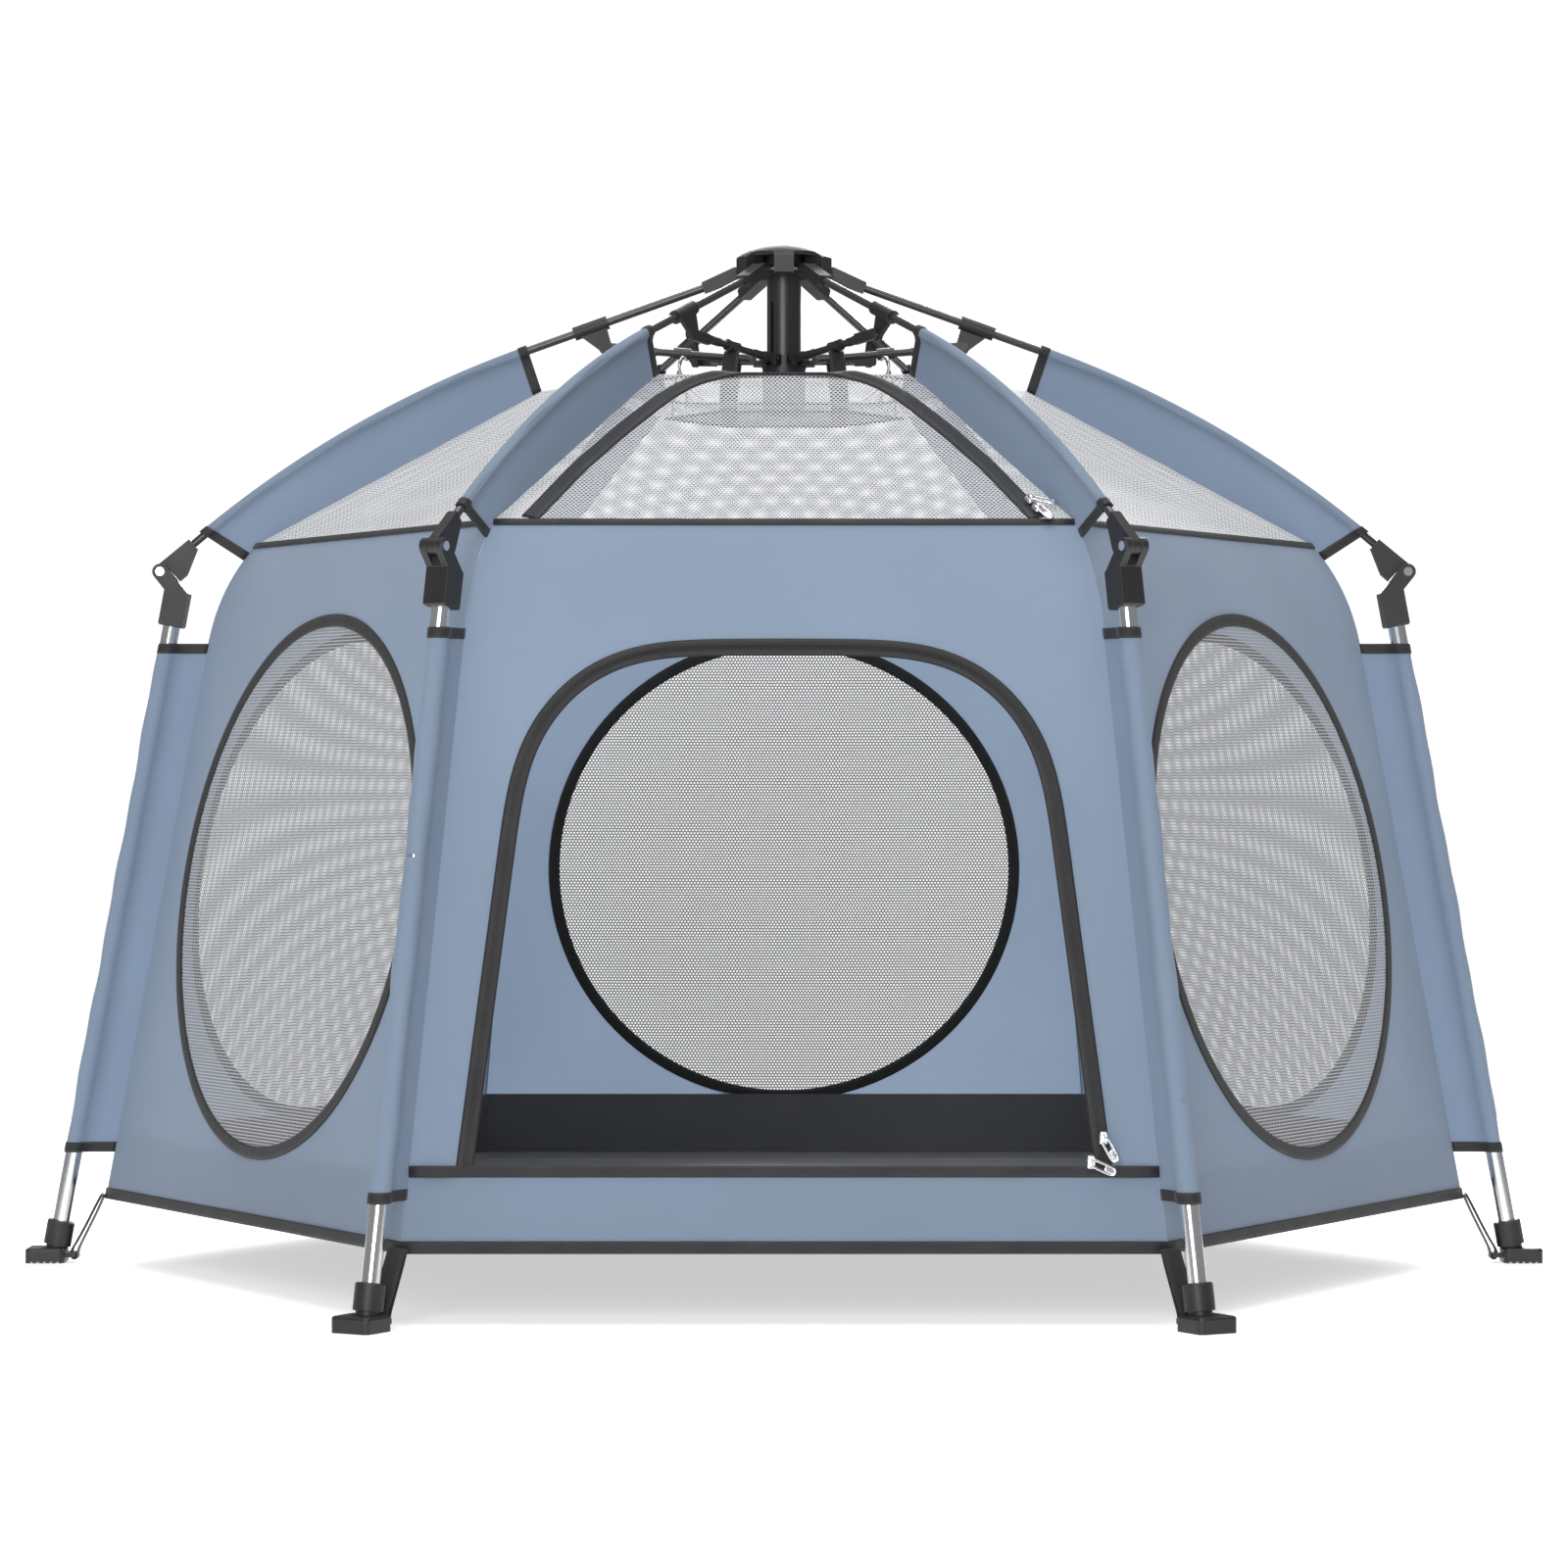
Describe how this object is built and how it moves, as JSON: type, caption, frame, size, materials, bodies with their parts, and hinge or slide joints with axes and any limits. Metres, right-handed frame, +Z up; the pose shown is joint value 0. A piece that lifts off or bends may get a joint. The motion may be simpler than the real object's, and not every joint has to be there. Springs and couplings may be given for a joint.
{
  "type": "travel play yard",
  "caption": "Pop-up hexagonal travel play yard: fabric and net tent hung under folding umbrella ribs with hinged tube legs and a zipped door.",
  "frame": {"origin": "on the ground, under the centre of the crown", "axes": "+Z up, the zipped door faces -Y, +X is the right hand of someone who looks at the door"},
  "size_m": [1.556, 1.3642, 1.045],
  "materials": {
    "polished_tube": "polished",
    "pin_steel": "brushed",
    "black_moulding": "fine grain moulded",
    "black_tube": "smooth",
    "dark_rod": "smooth fibre rod",
    "blue_cloth": "woven polyester",
    "white_net": "hexagonal net",
    "grey_cloth": "coated woven polyester",
    "black_binding": "ribbed tape",
    "zip_metal": "satin"
  },
  "bodies": {
    "hub": {"crown": "black_moulding", "rib_pins": "pin_steel", "centre_tube": "black_tube"},
    "runner": {"runner": "black_moulding", "strut_pins": "pin_steel", "roof_centre": "white_net"},
    "rib_right": {"rib_rod_right": "dark_rod", "rib_fittings_right": "black_moulding", "roof_right_back": "white_net"},
    "strut_right": {"strut_right": "black_moulding"},
    "leg_right": {"leg_tube_right": "polished_tube", "leg_elbow_right": "black_moulding", "foot_right": "black_moulding", "wall_right_back": "blue_cloth"},
    "floor_right_back": {"floor_right_back": "grey_cloth"},
    "rib_back_right": {"rib_rod_back_right": "dark_rod", "rib_fittings_back_right": "black_moulding", "roof_back": "white_net"},
    "strut_back_right": {"strut_back_right": "black_moulding"},
    "leg_back_right": {"leg_tube_back_right": "polished_tube", "leg_elbow_back_right": "black_moulding", "foot_back_right": "black_moulding", "wall_back": "blue_cloth"},
    "floor_back": {"floor_back": "grey_cloth"},
    "rib_back_left": {"rib_rod_back_left": "dark_rod", "rib_fittings_back_left": "black_moulding", "roof_left_back": "white_net"},
    "strut_back_left": {"strut_back_left": "black_moulding"},
    "leg_back_left": {"leg_tube_back_left": "polished_tube", "leg_elbow_back_left": "black_moulding", "foot_back_left": "black_moulding", "wall_left_back": "blue_cloth"},
    "floor_left_back": {"floor_left_back": "grey_cloth"},
    "rib_left": {"rib_rod_left": "dark_rod", "rib_fittings_left": "black_moulding", "roof_left_front": "white_net"},
    "strut_left": {"strut_left": "black_moulding"},
    "leg_left": {"leg_tube_left": "polished_tube", "leg_elbow_left": "black_moulding", "foot_left": "black_moulding", "wall_left_front": "blue_cloth"},
    "floor_left_front": {"floor_left_front": "grey_cloth"},
    "rib_front_left": {"rib_rod_front_left": "dark_rod", "rib_fittings_front_left": "black_moulding", "roof_front_door": "white_net"},
    "strut_front_left": {"strut_front_left": "black_moulding"},
    "leg_front_left": {"leg_tube_front_left": "polished_tube", "leg_elbow_front_left": "black_moulding", "foot_front_left": "black_moulding", "wall_front_door": "blue_cloth"},
    "floor_front_door": {"floor_front_door": "grey_cloth"},
    "rib_front_right": {"rib_rod_front_right": "dark_rod", "rib_fittings_front_right": "black_moulding", "roof_right_front": "white_net"},
    "strut_front_right": {"strut_front_right": "black_moulding"},
    "leg_front_right": {"leg_tube_front_right": "polished_tube", "leg_elbow_front_right": "black_moulding", "foot_front_right": "black_moulding", "wall_right_front": "blue_cloth"},
    "floor_right_front": {"floor_right_front": "grey_cloth"}
  },
  "joints": [
    {"name": "runner_slide", "type": "slide", "parent": "hub", "child": "runner", "axis": [0, 0, 1], "range_m": [0, 0.0814]},
    {"name": "rib_right_fold", "type": "hinge", "parent": "hub", "child": "rib_right", "pos_m": [0.038, 0, 1.017], "axis": [0, 1, 0], "range_deg": [0, 60], "deforming": ["roof_right_back", "roof_centre"]},
    {"name": "leg_right_fold", "type": "hinge", "parent": "rib_right", "child": "leg_right", "pos_m": [0.6404, 0, 0.7091], "axis": [0, -1, 0], "range_deg": [0, 217], "deforming": ["wall_right_back"]},
    {"name": "floor_right_back_fold", "type": "hinge", "parent": "leg_right", "child": "floor_right_back", "pos_m": [0.6975, 0, 0.0645], "axis": [0, 1, 0], "range_deg": [0, 80], "deforming": ["floor_right_back"]},
    {"name": "strut_right_turn", "type": "hinge", "parent": "runner", "child": "strut_right", "pos_m": [0.027, 0, 0.927], "axis": [0, 1, 0], "range_deg": [0, 88.5]},
    {"name": "rib_back_right_fold", "type": "hinge", "parent": "hub", "child": "rib_back_right", "pos_m": [0.019, 0.03291, 1.017], "axis": [-0.866, 0.5, 0], "range_deg": [0, 60], "deforming": ["roof_back"]},
    {"name": "leg_back_right_fold", "type": "hinge", "parent": "rib_back_right", "child": "leg_back_right", "pos_m": [0.3202, 0.5546, 0.7091], "axis": [0.866, -0.5, 0], "range_deg": [0, 217], "deforming": ["wall_back"]},
    {"name": "floor_back_fold", "type": "hinge", "parent": "leg_back_right", "child": "floor_back", "pos_m": [0.34875, 0.60405, 0.0645], "axis": [-0.866, 0.5, 0], "range_deg": [0, 80], "deforming": ["floor_back"]},
    {"name": "strut_back_right_turn", "type": "hinge", "parent": "runner", "child": "strut_back_right", "pos_m": [0.0135, 0.02338, 0.927], "axis": [-0.866, 0.5, 0], "range_deg": [0, 88.5]},
    {"name": "rib_back_left_fold", "type": "hinge", "parent": "hub", "child": "rib_back_left", "pos_m": [-0.019, 0.03291, 1.017], "axis": [-0.866, -0.5, 0], "range_deg": [0, 60], "deforming": ["roof_left_back"]},
    {"name": "leg_back_left_fold", "type": "hinge", "parent": "rib_back_left", "child": "leg_back_left", "pos_m": [-0.3202, 0.5546, 0.7091], "axis": [0.866, 0.5, 0], "range_deg": [0, 217], "deforming": ["wall_left_back"]},
    {"name": "floor_left_back_fold", "type": "hinge", "parent": "leg_back_left", "child": "floor_left_back", "pos_m": [-0.34875, 0.60405, 0.0645], "axis": [-0.866, -0.5, 0], "range_deg": [0, 80], "deforming": ["floor_left_back"]},
    {"name": "strut_back_left_turn", "type": "hinge", "parent": "runner", "child": "strut_back_left", "pos_m": [-0.0135, 0.02338, 0.927], "axis": [-0.866, -0.5, 0], "range_deg": [0, 88.5]},
    {"name": "rib_left_fold", "type": "hinge", "parent": "hub", "child": "rib_left", "pos_m": [-0.038, 0, 1.017], "axis": [0, -1, 0], "range_deg": [0, 60], "deforming": ["roof_left_front"]},
    {"name": "leg_left_fold", "type": "hinge", "parent": "rib_left", "child": "leg_left", "pos_m": [-0.6404, 0, 0.7091], "axis": [0, 1, 0], "range_deg": [0, 217], "deforming": ["wall_left_front"]},
    {"name": "floor_left_front_fold", "type": "hinge", "parent": "leg_left", "child": "floor_left_front", "pos_m": [-0.6975, 0, 0.0645], "axis": [0, -1, 0], "range_deg": [0, 80], "deforming": ["floor_left_front"]},
    {"name": "strut_left_turn", "type": "hinge", "parent": "runner", "child": "strut_left", "pos_m": [-0.027, 0, 0.927], "axis": [0, -1, 0], "range_deg": [0, 88.5]},
    {"name": "rib_front_left_fold", "type": "hinge", "parent": "hub", "child": "rib_front_left", "pos_m": [-0.019, -0.03291, 1.017], "axis": [0.866, -0.5, 0], "range_deg": [0, 60], "deforming": ["roof_front_door"]},
    {"name": "leg_front_left_fold", "type": "hinge", "parent": "rib_front_left", "child": "leg_front_left", "pos_m": [-0.3202, -0.5546, 0.7091], "axis": [-0.866, 0.5, 0], "range_deg": [0, 217], "deforming": ["wall_front_door"]},
    {"name": "floor_front_door_fold", "type": "hinge", "parent": "leg_front_left", "child": "floor_front_door", "pos_m": [-0.34875, -0.60405, 0.0645], "axis": [0.866, -0.5, 0], "range_deg": [0, 80], "deforming": ["floor_front_door"]},
    {"name": "strut_front_left_turn", "type": "hinge", "parent": "runner", "child": "strut_front_left", "pos_m": [-0.0135, -0.02338, 0.927], "axis": [0.866, -0.5, 0], "range_deg": [0, 88.5]},
    {"name": "rib_front_right_fold", "type": "hinge", "parent": "hub", "child": "rib_front_right", "pos_m": [0.019, -0.03291, 1.017], "axis": [0.866, 0.5, 0], "range_deg": [0, 60], "deforming": ["roof_right_front"]},
    {"name": "leg_front_right_fold", "type": "hinge", "parent": "rib_front_right", "child": "leg_front_right", "pos_m": [0.3202, -0.5546, 0.7091], "axis": [-0.866, -0.5, 0], "range_deg": [0, 217], "deforming": ["wall_right_front"]},
    {"name": "floor_right_front_fold", "type": "hinge", "parent": "leg_front_right", "child": "floor_right_front", "pos_m": [0.34875, -0.60405, 0.0645], "axis": [0.866, 0.5, 0], "range_deg": [0, 80], "deforming": ["floor_right_front"]},
    {"name": "strut_front_right_turn", "type": "hinge", "parent": "runner", "child": "strut_front_right", "pos_m": [0.0135, -0.02338, 0.927], "axis": [0.866, 0.5, 0], "range_deg": [0, 88.5]}
  ],
  "couplings": [
    {"joint": "leg_right_fold", "follows": "rib_right_fold", "ratio": 3.6167},
    {"joint": "floor_right_back_fold", "follows": "rib_right_fold", "ratio": 1.3333},
    {"joint": "strut_right_turn", "follows": "rib_right_fold", "ratio": 1.4748},
    {"joint": "rib_back_right_fold", "follows": "rib_right_fold", "ratio": 1},
    {"joint": "leg_back_right_fold", "follows": "rib_right_fold", "ratio": 3.6167},
    {"joint": "floor_back_fold", "follows": "rib_right_fold", "ratio": 1.3333},
    {"joint": "strut_back_right_turn", "follows": "rib_right_fold", "ratio": 1.4748},
    {"joint": "rib_back_left_fold", "follows": "rib_right_fold", "ratio": 1},
    {"joint": "leg_back_left_fold", "follows": "rib_right_fold", "ratio": 3.6167},
    {"joint": "floor_left_back_fold", "follows": "rib_right_fold", "ratio": 1.3333},
    {"joint": "strut_back_left_turn", "follows": "rib_right_fold", "ratio": 1.4748},
    {"joint": "rib_left_fold", "follows": "rib_right_fold", "ratio": 1},
    {"joint": "leg_left_fold", "follows": "rib_right_fold", "ratio": 3.6167},
    {"joint": "floor_left_front_fold", "follows": "rib_right_fold", "ratio": 1.3333},
    {"joint": "strut_left_turn", "follows": "rib_right_fold", "ratio": 1.4748},
    {"joint": "rib_front_left_fold", "follows": "rib_right_fold", "ratio": 1},
    {"joint": "leg_front_left_fold", "follows": "rib_right_fold", "ratio": 3.6167},
    {"joint": "floor_front_door_fold", "follows": "rib_right_fold", "ratio": 1.3333},
    {"joint": "strut_front_left_turn", "follows": "rib_right_fold", "ratio": 1.4748},
    {"joint": "rib_front_right_fold", "follows": "rib_right_fold", "ratio": 1},
    {"joint": "leg_front_right_fold", "follows": "rib_right_fold", "ratio": 3.6167},
    {"joint": "floor_right_front_fold", "follows": "rib_right_fold", "ratio": 1.3333},
    {"joint": "strut_front_right_turn", "follows": "rib_right_fold", "ratio": 1.4748},
    {"joint": "runner_slide", "follows": "rib_right_fold", "m_per_rad": 0.077691}
  ]
}
